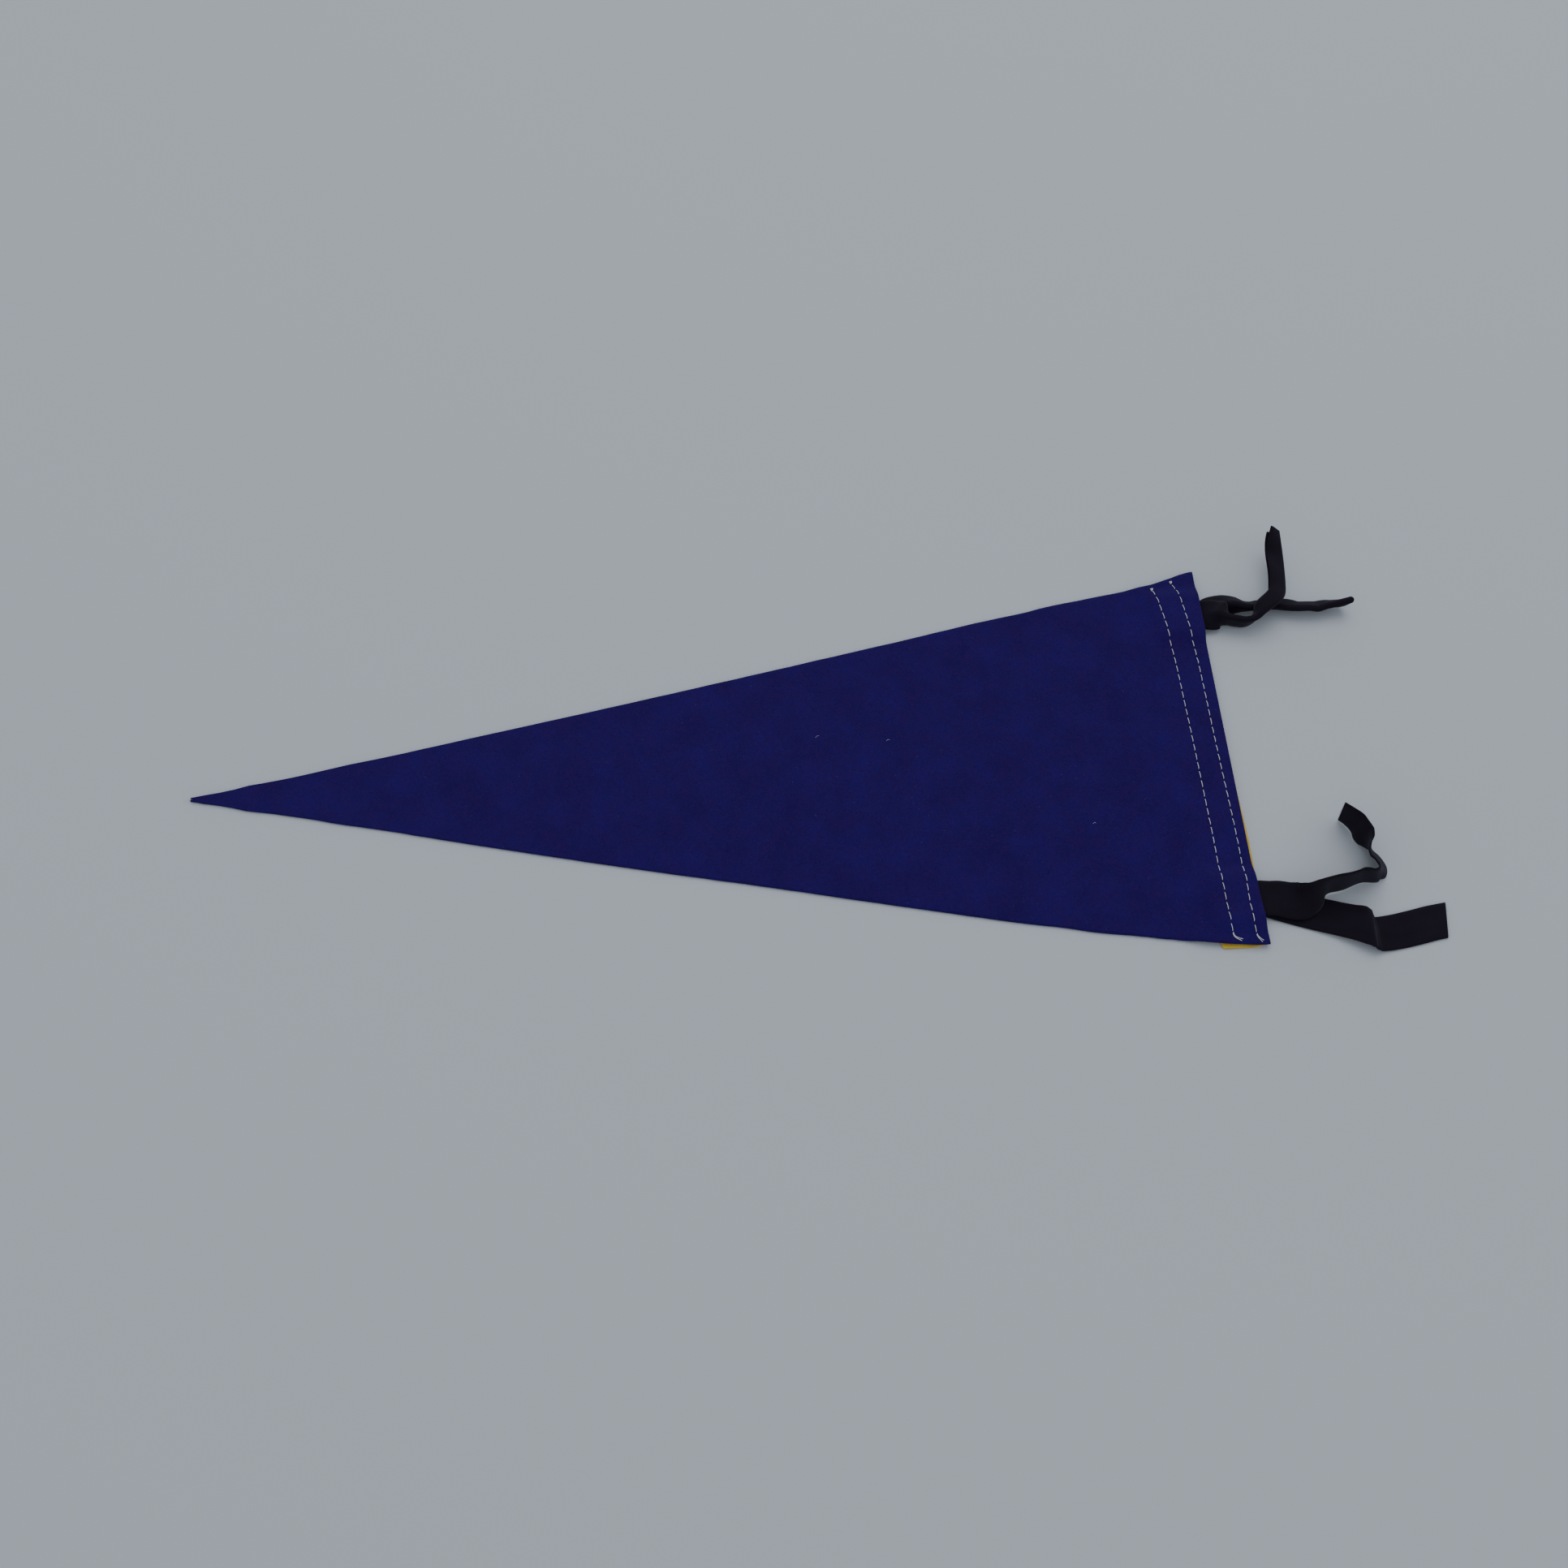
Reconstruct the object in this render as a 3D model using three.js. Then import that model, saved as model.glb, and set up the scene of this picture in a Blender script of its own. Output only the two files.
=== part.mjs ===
// A blue felt pennant lying on a flat surface, its narrow tip to the left and its hoist to the right.
// A yellow heading strip lies under the hoist, and two black tape ties are caught between strip and cloth.
// Millimetres, +Z up. The tables are measured from the middle of the hoist edge, x toward the hoist.
import * as THREE from "three";

// Driving dimensions
const CLOTH_THICK = 1.2;
const STRIP_THICK = 1;
const TAPE_THICK = 1;
const TAPE_WIDTH = 15;
const GAP = 0.3;

// Heights of the layers at the hoist, from the surface up
const OVER_STRIP = STRIP_THICK + GAP;
const ONE_TAPE = TAPE_THICK + GAP;
const LOWER_TAPE_MIDDLE = OVER_STRIP + TAPE_THICK / 2;
const UPPER_TAPE_MIDDLE = LOWER_TAPE_MIDDLE + ONE_TAPE;

// Where the cloth rises onto the strip, and onto the two layers of each tie
const STRIP_RISE = { from: -34, to: -24.5 };
const TIE_RISE = { from: -26, to: -18, full: 0.6, none: 9 };
const FAR_CORNER_LIFT = 0.6;
const NEAR_CORNER_LIFT = 0.4;
const NEAR_CORNER_FLARE = 1;

// How finely the cloth is divided: cross lines along it, and places along each cross line
const PLAIN_LINES = 30;
const HEADING_LINES = 3;
const HEADING_FROM = -35;
const PLAIN_PLACES = 13;
const TIE_PLACES = 4.5;
const TIE_REACH = 20;

// The cut edges of the cloth: its two long sides where each cross line meets them
const CLOTH_EDGES = table("x near far", [
  [-444, -0.8, 0.8],
  [-439, -2.0, 1.6],
  [-420, -6.4, 5.4],
  [-380, -14.8, 13.2],
  [-320, -28.0, 25.2],
  [-260, -41.0, 37.6],
  [-200, -53.2, 50.4],
  [-140, -65.8, 63.4],
  [-80, -77.4, 76.2],
  [-50, -82.6, 82.4],
  [-35, -85.2, 85.2],
  [-20, -87.6, 87.8],
  [-10, -88.8, 91.0],
  [-4, -89.4, 93.0],
  [0, -89.4, 93.8],
]);

// The heading strip: how far each cross line reaches in from the hoist and out past it
const STRIP_EDGES = table("y inner outer", [
  [-89.8, -17.2, -6],
  [-89.2, -18, -2],
  [-87, -18.4, -0.8],
  [-75, -18.6, 0.4],
  [-60, -18.8, 0.9],
  [-40, -19.2, 1.2],
  [-15, -19.6, 0.4],
  [20, -20.4, -0.8],
  [60, -22, -1.2],
  [84, -24, -1.6],
]);

// Each tie is one tape, doubled round at the back of the heading. A row is one section of a free tail:
// the place of its middle, its lean (turned about its own run), its fold along the middle, in degrees,
// and how far its left edge runs ahead of its middle. A pointed end is cut back this far at its edges.
const DOUBLING = -16.5;
const TIES = {
  upper_tie: {
    root: 70.6,
    over: table("x y z lean fold ahead", [
      [0, 70.6, UPPER_TAPE_MIDDLE, 0, 0, 0],
      [3, 69.4, 5.1, 13.5, 12.5, 0],
      [6.5, 66.8, 8.5, 34, 40, 0],
      [10.5, 64.8, 9, 22, 76, 0],
      [14.4, 64, 8.8, 14, 84, 0],
      [18.2, 63, 9, 18, 86, 0],
      [22.4, 63, 10.2, 38, 86, 0],
      [26.2, 64.8, 12, 62, 86, 0],
      [30, 67.2, 12.6, 72, 86, 0],
      [33.6, 70, 12.2, 80, 84, 0],
      [36.4, 74, 11, 90, 86, 0],
      [37.8, 79.4, 10, 97, 88, 0],
      [38.8, 86, 9.6, 101, 88, 0],
      [39.6, 92, 9.4, 94, 88, 0],
      [40, 97, 9.8, 85, 88, 0],
      [40, 102, 10.6, 104, 88, 0],
      [39.8, 107.4, 11.4, 130, 86, 1],
    ]),
    under: table("x y z lean fold ahead", [
      [0, 70.6, LOWER_TAPE_MIDDLE, 0, 0, 0],
      [3, 71.4, 2.2, 1, 10, 1.4],
      [6.5, 73.2, 3.5, 0, 21, 1.8],
      [10.5, 73.8, 5.3, 5, 35, 0.6],
      [14.5, 72.6, 7.3, 22, 62, 0],
      [18.5, 71, 7.3, 32, 76, 0],
      [23, 70.4, 6.8, 38, 82, 0],
      [27, 70.6, 6.3, 47, 86, 0],
      [33, 70.6, 5.8, 56, 86, 0],
      [39, 69.8, 5.6, 58, 86, 0],
      [43.5, 69, 6.4, 48, 86, 0],
      [48.5, 68.8, 6.6, 46, 86, 0],
      [52.5, 68.4, 6.2, 50, 86, 0],
      [56.5, 69.4, 6.6, 44, 86, 0],
      [60.5, 70, 7.3, 36, 86, 0],
      [64.5, 70.6, 8, 31, 86, 0],
      [68, 71.4, 8.8, 27, 86, 0],
    ]),
    overPoint: 0,
    underPoint: 4,
  },
  lower_tie: {
    root: -69,
    over: table("x y z lean fold ahead", [
      [0, -69, UPPER_TAPE_MIDDLE, 0, 0, 0],
      [4, -69.7, 3.3, 3, 0, 0],
      [8, -70.3, 3.8, 8, 0, 0],
      [12, -71.8, 4.8, 16, 0, 0],
      [16, -72.7, 6.1, 30, 0, 0],
      [20, -72, 7.7, 48, 0, 0],
      [24, -69.8, 8.8, 68, 0, -0.7],
      [28, -67.4, 8.6, 84, 0, -1.4],
      [34.5, -66, 8.2, 85, 0, -1.8],
      [42.4, -63.8, 8.2, 90, 0, -2.8],
      [48.4, -63.6, 8.3, 89, 0, -3.8],
      [50.9, -61.4, 7.8, 64, 0, -2],
      [51.2, -58.4, 7.2, 54, 0, 0],
      [50.4, -55.4, 6.7, 51, 0, 0],
      [49.2, -52.8, 6.8, 56, 0, 0],
      [48.5, -50.2, 7.3, 72, 0, 0],
      [48, -47.6, 7.7, 90, 0, -0.6],
      [47.2, -44.8, 7.8, 99, 0, -1],
      [46.4, -42.2, 8, 96, 0, -0.6],
      [45.4, -39.6, 8.1, 93, 0, 0],
      [43, -36.6, 8.1, 89, 0, 0],
      [40.1, -34, 8.1, 88, 0, 0.7],
    ]),
    under: table("x y z lean fold ahead", [
      [0, -69, LOWER_TAPE_MIDDLE, 0, 0, 0],
      [3, -69.6, 1.6, 0, 0, 0],
      [8, -71.4, 0.9, 0, 0, 0],
      [20, -75.6, 0.6, 0, 0, 0],
      [30, -79.2, 1.6, 1, 0, 0],
      [36.5, -82, 3.2, 2, 0, -1.4],
      [40.8, -84.2, 4.6, 4, 0, -3.6],
      [43, -85.4, 4.6, 4, 0, -4.2],
      [45, -86.4, 2.2, 1, 0, -3],
      [47.6, -86.8, 1, 0, 0, -1.2],
      [54, -86, 0.6, 0, 0, 0],
      [62, -84.5, 0.6, 0, 0, 0.6],
      [69, -83, 0.6, 0, 0, 1.4],
      [75.4, -82, 0.6, 0, 0, 2.4],
    ]),
    overPoint: 0,
    underPoint: 0,
  },
};

// Places across the tape, from its right edge to its left one, close together round the lengthwise fold
const FOLD_ARC = 1.5;
const TAPE_PLACES = [-1, -0.6, -0.2, -0.1, 0, 0.1, 0.2, 0.6, 1];
const SECTIONS_PER_ROW = 3;
const POINT_ROWS = 3;

// Rows of numbers under named columns
function table(columns, rows) {
  const names = columns.split(" ");
  return rows.map((row) => Object.fromEntries(names.map((name, i) => [name, row[i]])));
}

// A value from 0 to 1 that eases in between two limits
function ease(value, from, to) {
  return THREE.MathUtils.smoothstep(value, from, to);
}

// The columns of a table at a place between its rows, on a smooth curve through them
function between(rows, place) {
  const last = rows.length - 1;
  const i = THREE.MathUtils.clamp(Math.floor(place), 0, last - 1);
  const f = THREE.MathUtils.clamp(place - i, 0, 1);
  const at = (n) => rows[THREE.MathUtils.clamp(n, 0, last)];
  const out = {};
  for (const name of Object.keys(rows[0])) {
    const [a, b, c, d] = [at(i - 1), at(i), at(i + 1), at(i + 2)].map((row) => row[name]);
    const [inSlope, outSlope] = [(c - a) / 2, (d - b) / 2];
    const [f2, f3] = [f * f, f * f * f];
    out[name] =
      (2 * f3 - 3 * f2 + 1) * b + (f3 - 2 * f2 + f) * inSlope +
      (3 * f2 - 2 * f3) * c + (f3 - f2) * outSlope;
  }
  return out;
}

// A closed mesh from a row of rings, each a loop of points that runs the same way round
function loft(name, rings, material) {
  const count = rings[0].length;
  const faces = [];
  for (let r = 0; r < rings.length - 1; r++)
    for (let i = 0; i < count; i++) {
      const [a, b] = [r * count + i, r * count + ((i + 1) % count)];
      const [c, d] = [a + count, b + count];
      faces.push([a, b, d], [a, d, c]);
    }
  const lastRing = (rings.length - 1) * count;
  faces.push(...endFaces(0, count));
  faces.push(...endFaces(lastRing, count).map((face) => face.toReversed()));
  const geometry = new THREE.BufferGeometry().setFromPoints(rings.flat());
  geometry.setIndex(faces.flat());
  geometry.computeVertexNormals();
  const mesh = new THREE.Mesh(geometry, material);
  mesh.name = name;
  return mesh;
}

// The faces that close a ring whose first half lies opposite its second half
function endFaces(start, count) {
  const faces = [];
  for (let i = 0; i < count / 2 - 1; i++) {
    const [a, b] = [start + i, start + i + 1];
    const [c, d] = [start + count - 1 - i, start + count - 2 - i];
    faces.push([a, d, b], [a, c, d]);
  }
  return faces;
}

// How far a place along a cross line lies outside the nearest tie
function besideTie(y) {
  const away = Object.values(TIES).map((tie) => Math.abs(y - tie.root) - TAPE_WIDTH / 2);
  return Math.min(...away);
}

// The height of the cloth's underside: on the surface, raised over the strip and over the ties
function underside(x, y) {
  const overStrip = OVER_STRIP * ease(x, STRIP_RISE.from, STRIP_RISE.to);
  const beside = 1 - ease(besideTie(y), TIE_RISE.full, TIE_RISE.none);
  const overTies = 2 * ONE_TAPE * ease(x, TIE_RISE.from, TIE_RISE.to) * beside;
  const farCorner = FAR_CORNER_LIFT * ease(y, 74, 96) * ease(x, -60, 0);
  const nearCorner = NEAR_CORNER_LIFT * ease(-y, 78, 90) * ease(x, -80, -10);
  return overStrip + overTies + farCorner + nearCorner;
}

// Places along a cross line, as shares of its length, closer together where the ties lie
function crossPlaces() {
  const { near, far } = CLOTH_EDGES.at(-1);
  const places = [];
  for (let y = near; y < far; y += besideTie(y) < TIE_REACH - TAPE_WIDTH / 2 ? TIE_PLACES : PLAIN_PLACES)
    places.push((y - near) / (far - near));
  return [...places, 1];
}

function cloth(material) {
  const places = crossPlaces();
  const ring = (edges) => {
    const under = places.map((place) => {
      const y = THREE.MathUtils.lerp(edges.near, edges.far, place);
      const flare = NEAR_CORNER_FLARE * ease(-y, 64, 90) * ease(edges.x, -14, 0);
      return new THREE.Vector3(edges.x + flare, y, underside(edges.x, y));
    });
    const over = under.map((p) => new THREE.Vector3(p.x, p.y, p.z + CLOTH_THICK));
    return [...under, ...over.reverse()];
  };
  const rings = [];
  for (let i = 0; i < CLOTH_EDGES.length - 1; i++) {
    const span = CLOTH_EDGES[i + 1].x - CLOTH_EDGES[i].x;
    const steps = Math.ceil(span / (CLOTH_EDGES[i].x < HEADING_FROM ? PLAIN_LINES : HEADING_LINES));
    for (let k = 0; k < steps; k++) rings.push(ring(between(CLOTH_EDGES, i + k / steps)));
  }
  rings.push(ring(CLOTH_EDGES.at(-1)));
  return loft("cloth", rings, material);
}

function headingStrip(material) {
  const rings = STRIP_EDGES.map(({ y, inner, outer }) => [
    new THREE.Vector3(outer, y, 0),
    new THREE.Vector3(inner, y, 0),
    new THREE.Vector3(inner, y, STRIP_THICK),
    new THREE.Vector3(outer, y, STRIP_THICK),
  ]);
  return loft("heading_strip", rings, material);
}

// A point of the tape's section: rounded over the fold, then straight out to its edge
function sectionPoint(place, fold, offset) {
  const reach = Math.abs(place) * (TAPE_WIDTH / 2);
  const onArc = Math.min(reach, FOLD_ARC);
  const angle = (fold * onArc) / FOLD_ARC;
  const past = reach - onArc;
  const chord = angle === 0 ? onArc : (onArc * Math.sin(angle / 2)) / (angle / 2);
  const across = chord * Math.cos(angle / 2) + past * Math.cos(angle) + offset * Math.sin(angle);
  const rise = -chord * Math.sin(angle / 2) - past * Math.sin(angle) + offset * Math.cos(angle);
  return { across: Math.sign(place) * across, rise };
}

// One section of the tape, turned by its lean about its run, as a ring: its upper face, then its lower
function tapeRing(run, { middle, lean, fold, ahead }, point) {
  const up = new THREE.Vector3(0, 0, 1);
  const left = new THREE.Vector3().crossVectors(up, run).normalize();
  const above = new THREE.Vector3().crossVectors(run, left).normalize();
  const forward = new THREE.Vector3().crossVectors(left, up);
  const turn = THREE.MathUtils.degToRad(lean);
  const bend = THREE.MathUtils.degToRad(fold);
  const [upper, lower] = [TAPE_THICK / 2, -TAPE_THICK / 2].map((offset) =>
    TAPE_PLACES.map((place) => {
      const { across, rise } = sectionPoint(place, bend, offset);
      return middle.clone()
        .addScaledVector(left, across * Math.cos(turn) - rise * Math.sin(turn))
        .addScaledVector(above, across * Math.sin(turn) + rise * Math.cos(turn))
        .addScaledVector(forward, ahead * place)
        .addScaledVector(run, -point * Math.abs(place));
    }),
  );
  return [...upper, ...lower.reverse()];
}

// A tail's rings from the heading outward, its edges cut back toward a pointed end
function tailRings(rows, endPoint) {
  const last = rows.length - 1;
  const section = (place) => {
    const row = between(rows, place);
    return { ...row, middle: new THREE.Vector3(row.x, row.y, row.z) };
  };
  const rings = [];
  for (let k = 0; k <= last * SECTIONS_PER_ROW; k++) {
    const place = k / SECTIONS_PER_ROW;
    const run = section(place + 0.1).middle.sub(section(place - 0.1).middle).normalize();
    rings.push(tapeRing(run, section(place), endPoint * ease(place, last - POINT_ROWS, last)));
  }
  return rings;
}

// The rings of the tape where it doubles round, from its upper layer to its lower one
function doublingRings(root) {
  const centre = new THREE.Vector3(DOUBLING, root, (LOWER_TAPE_MIDDLE + UPPER_TAPE_MIDDLE) / 2);
  return [90, 45, 0, -45, -90].map((degrees) => {
    const angle = THREE.MathUtils.degToRad(degrees);
    const out = new THREE.Vector3(-Math.cos(angle), 0, Math.sin(angle));
    const face = (offset) =>
      TAPE_PLACES.map((place) =>
        centre.clone()
          .addScaledVector(out, ONE_TAPE / 2 + offset)
          .add(new THREE.Vector3(0, (place * TAPE_WIDTH) / 2, 0)),
      );
    return [...face(TAPE_THICK / 2), ...face(-TAPE_THICK / 2).reverse()];
  });
}

// The same ring seen from below, so that the lower tail carries on from the doubling
function turnOver(ring) {
  const half = ring.length / 2;
  const [upper, lower] = [ring.slice(0, half), ring.slice(half)];
  return [...lower.reverse(), ...upper.reverse()];
}

// A tie: in along its upper tail from the free end, round the doubling and out along its lower tail
function tie(name, { root, over, under, overPoint, underPoint }, material) {
  const upperTail = tailRings(over, overPoint).reverse();
  const lowerTail = tailRings(under, underPoint).map(turnOver);
  return loft(name, [...upperTail, ...doublingRings(root), ...lowerTail], material);
}

const felt = new THREE.MeshStandardMaterial({ color: 0x2a2a86, roughness: 0.95, metalness: 0 });
const yellowFelt = new THREE.MeshStandardMaterial({ color: 0xe9b93a, roughness: 0.95, metalness: 0 });
const blackTape = new THREE.MeshStandardMaterial({ color: 0x17161c, roughness: 0.85, metalness: 0 });

const pennant = new THREE.Group();
pennant.add(cloth(felt), headingStrip(yellowFelt));
for (const [name, sizes] of Object.entries(TIES)) pennant.add(tie(name, sizes, blackTape));

// The origin goes to the middle of the underside of the whole
const box = new THREE.Box3().setFromObject(pennant);
const centre = box.getCenter(new THREE.Vector3());
pennant.position.set(-centre.x, -centre.y, -box.min.z);

export default pennant;
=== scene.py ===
# %% [markdown]
# A felt pennant with tape ties, lying on a pale surface
#
# The pennant is one long triangle of blue pressed felt. A strip of yellow felt is stitched under its wide
# end, and two black tapes are caught between strip and cloth, so that the pennant can be tied to a stick.
# The frame holds the pieces as plain solids. This script gives each its finished cloth, thread and tape.

# %% Load the frame
import math

import bpy
import numpy as np
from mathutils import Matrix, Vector, noise


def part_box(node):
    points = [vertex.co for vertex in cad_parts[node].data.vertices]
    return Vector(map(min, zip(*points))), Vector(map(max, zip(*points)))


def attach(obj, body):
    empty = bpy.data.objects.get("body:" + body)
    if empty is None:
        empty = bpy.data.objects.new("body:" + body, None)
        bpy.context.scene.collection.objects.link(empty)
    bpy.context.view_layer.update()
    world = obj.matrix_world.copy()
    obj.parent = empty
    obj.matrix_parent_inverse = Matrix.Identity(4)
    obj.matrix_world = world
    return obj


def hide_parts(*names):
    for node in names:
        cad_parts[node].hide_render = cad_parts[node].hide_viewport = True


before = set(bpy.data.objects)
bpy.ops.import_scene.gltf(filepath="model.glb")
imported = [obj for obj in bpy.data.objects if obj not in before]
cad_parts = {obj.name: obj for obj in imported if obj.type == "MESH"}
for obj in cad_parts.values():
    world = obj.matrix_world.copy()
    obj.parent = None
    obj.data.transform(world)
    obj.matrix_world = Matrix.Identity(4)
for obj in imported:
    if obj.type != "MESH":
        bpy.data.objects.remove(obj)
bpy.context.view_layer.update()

# %% [markdown]
# One set of axes for every piece
#
# A maker measures a pennant from its hoist, the wide end. The pieces below are laid out the same way: x
# runs toward the hoist and is zero on its edge, y runs across the cloth, z is the height above the surface,
# all in millimetres. The frame's own box for the cloth says where that zero lies, so nothing is fitted.

# %% Measures from the hoist
MM = 0.001
CLOTH_LONG = 444
CLOTH_NEAR = -89.4
cloth_low, cloth_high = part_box("cloth")
HOIST = np.array([cloth_low[0] + CLOTH_LONG * MM, cloth_low[1] - CLOTH_NEAR * MM, 0])


def place(points, origin=HOIST):
    """Points measured in millimetres from the hoist, in metres in the frame."""
    return np.asarray(points, dtype=float) * MM + origin


def table(columns, rows):
    """Rows of numbers under named columns, as one array for each column."""
    return {name: np.array([row[i] for row in rows], float) for i, name in enumerate(columns.split())}


def add_object(name, data):
    """An object in the scene that holds a mesh, a curve, a lamp or a camera."""
    thing = bpy.data.objects.new(name, data)
    bpy.context.scene.collection.objects.link(thing)
    return thing


print("hoist edge in the frame:", HOIST.round(4))

# %% [markdown]
# The camera
#
# The picture looks down at the cloth from the near side, 62 degrees above the surface. A long, thin object
# shows its true taper only from the right distance, because a near camera makes the near side look wider.
# So the distance and the lens are set together, and then the cloth fills the same share of the picture.

# %% Camera
CAMERA_HEIGHT_ANGLE = 62
CAMERA_DISTANCE = 694
CAMERA_TURN = 2.93
LOOK_AT = [-191.9, -4.9, 0]
LENS = 37.27
up_angle, turn_angle = math.radians(CAMERA_HEIGHT_ANGLE), math.radians(CAMERA_TURN)
toward_camera = np.array([
    -math.cos(up_angle) * math.sin(turn_angle),
    -math.cos(up_angle) * math.cos(turn_angle),
    math.sin(up_angle),
])
eye = Vector(place(np.array(LOOK_AT) + CAMERA_DISTANCE * toward_camera))
camera = add_object("camera", bpy.data.cameras.new("camera"))
camera.data.sensor_width = 36
camera.data.lens = LENS
camera.location = eye
camera.rotation_euler = (Vector(place(LOOK_AT)) - eye).to_track_quat("-Z", "Y").to_euler()
bpy.context.scene.camera = camera
print("camera at", [round(c, 3) for c in eye])

# %% [markdown]
# Smooth curves through measured points
#
# Cloth has no straight runs and sharp corners. Each edge, seam and tape is given by a short table of
# measured places, and a curve is drawn through them. The slope at a row is taken from the rows on either
# side, which is the usual Catmull-Rom rule: the curve passes through every point and needs no handles.


# %% Curves and sheets
def between(rows, places):
    """The columns of a table at fractional row numbers, on a smooth curve through the rows."""
    last = len(next(iter(rows.values()))) - 1
    i = np.clip(np.floor(places).astype(int), 0, last - 1)
    f = np.clip(places - i, 0, 1)
    out = {}
    for name, values in rows.items():
        a, b, c, d = (values[np.clip(i + n, 0, last)] for n in (-1, 0, 1, 2))
        slope_in, slope_out = (c - a) / 2, (d - b) / 2
        out[name] = ((2 * f**3 - 3 * f**2 + 1) * b + (f**3 - 2 * f**2 + f) * slope_in
                     + (3 * f**2 - 2 * f**3) * c + (f**3 - f**2) * slope_out)
    return out


def unit(rows):
    """Rows of vectors, each brought to a length of one."""
    return rows / np.linalg.norm(rows, axis=1)[:, None]


def run_along(path):
    """How far each point of a path is from its start, measured along the path."""
    return np.concatenate([[0], np.cumsum(np.linalg.norm(np.diff(path, axis=0), axis=1))])


def along(points, step):
    """Points at even steps along the smooth curve through a short list of points."""
    columns = {str(axis): np.array([p[axis] for p in points], float) for axis in range(len(points[0]))}
    fine = between(columns, np.linspace(0, len(points) - 1, 60 * len(points)))
    curve = np.stack(list(fine.values()), axis=1)
    run = run_along(curve)
    count = max(2, round(run[-1] / step) + 1)
    even = np.linspace(0, run[-1], count)
    return np.stack([np.interp(even, run, curve[:, axis]) for axis in range(curve.shape[1])], axis=1)


def ease(value, start, end):
    """A value from 0 to 1 that eases in between two limits."""
    t = np.clip((value - start) / (end - start), 0, 1)
    return t * t * (3 - 2 * t)


def wander(x, y, size, seed):
    """Smooth unevenness between -1 and 1 that changes over the given size in millimetres."""
    return noise.noise(Vector((x / size, y / size, seed)))


def new_object(name, vertices, faces, smooth=True, origin=HOIST):
    """An unturned mesh object from vertices in millimetres, measured from the hoist or another origin."""
    mesh = bpy.data.meshes.new(name)
    mesh.from_pydata(place(vertices, origin).tolist(), [], faces)
    mesh.polygons.foreach_set("use_smooth", [smooth] * len(mesh.polygons))
    mesh.update()
    return add_object(name, mesh)


# %% [markdown]
# A sheet as a loft of rings
#
# A ring goes round the sheet's thickness once: along its upper face, round one edge, back along its lower
# face and round the other edge. A row of such rings joined by quads is a closed sheet with real thickness.
# It is easier to steer than a flat grid with Solidify on it, since each face can be shaped by itself. Each
# edge is one point that stands out a little, which rounds it as a cut or woven edge is rounded.


# %% Loft
def loft(name, rings, across, run):
    """A closed sheet from rings of an upper face, an edge point, a lower face and an edge point."""
    count = len(rings[0])
    half = (count - 2) // 2
    faces = []
    for r in range(len(rings) - 1):
        for i in range(count):
            a, b = r * count + i, r * count + (i + 1) % count
            faces.append((a, b, b + count, a + count))
    faces += end_faces(0, half)
    faces += [face[::-1] for face in end_faces((len(rings) - 1) * count, half)]
    thing = new_object(name, np.concatenate(rings), faces)
    layer = thing.data.uv_layers.new(name="lay")
    lay = np.stack([np.tile(across, len(rings)), np.repeat(run, count)], axis=1) * MM
    corner = np.zeros(len(thing.data.loops), dtype=np.int32)
    thing.data.loops.foreach_get("vertex_index", corner)
    layer.data.foreach_set("uv", lay[corner].ravel())
    return thing


def end_faces(start, half):
    """The faces that close a ring across its thickness."""
    upper = [start + i for i in range(half)]
    lower = [start + 2 * half - i for i in range(half)]
    far_edge, near_edge = start + half, start + 2 * half + 1
    faces = [(upper[i], lower[i], lower[i + 1], upper[i + 1]) for i in range(half - 1)]
    return faces + [(upper[-1], lower[-1], far_edge), (lower[0], upper[0], near_edge)]


# %% [markdown]
# The two rows of stitches, as paths
#
# A lockstitch machine sews in nearly straight rows, so each row needs only a few measured places. They
# come before the cloth, because the thread pulls the felt down at every needle hole, and the cloth's own
# mesh has to be dented there. The stitch length is one number for the holes, the dents and the thread.

# %% Stitch rows
STITCH = 4.5
THREAD_THICK = 0.32
ROWS = {
    "inner": [
        (-20.2, 84.6), (-19.1, 80), (-18.3, 74), (-17.4, 68.5), (-16.6, 61), (-15.8, 53), (-15.3, 44),
        (-15, 30), (-14.6, 12), (-14.3, -6), (-14.1, -24), (-13.9, -44), (-14.2, -60), (-14.3, -72),
        (-13.5, -84),
    ],
    "outer": [
        (-10.9, 88.2), (-9.6, 86.2), (-8.5, 79), (-7.6, 71), (-6.9, 64), (-6, 56), (-5.4, 46), (-5.1, 28),
        (-4.9, 10), (-4.6, -8), (-4.2, -26), (-4, -44), (-4.3, -60), (-4.8, -72), (-4.2, -82), (-3.9, -85),
    ],
}
holes = {name: along(points, STITCH) for name, points in ROWS.items()}
print({name: len(points) - 1 for name, points in holes.items()}, "stitches")

# %% [markdown]
# The blue cloth
#
# The felt is cut with shears, not hemmed, so its edges are single, square and very slightly uneven. It lies
# flat, rises gently where the heading strip and the doubled tapes lie under it, and is drawn down along the
# stitching. The mesh is a grid: coarse over the plain field and fine at the heading, where there is
# something to show. Each side edge is a table of measured places, as for the solid in the frame.

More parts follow.
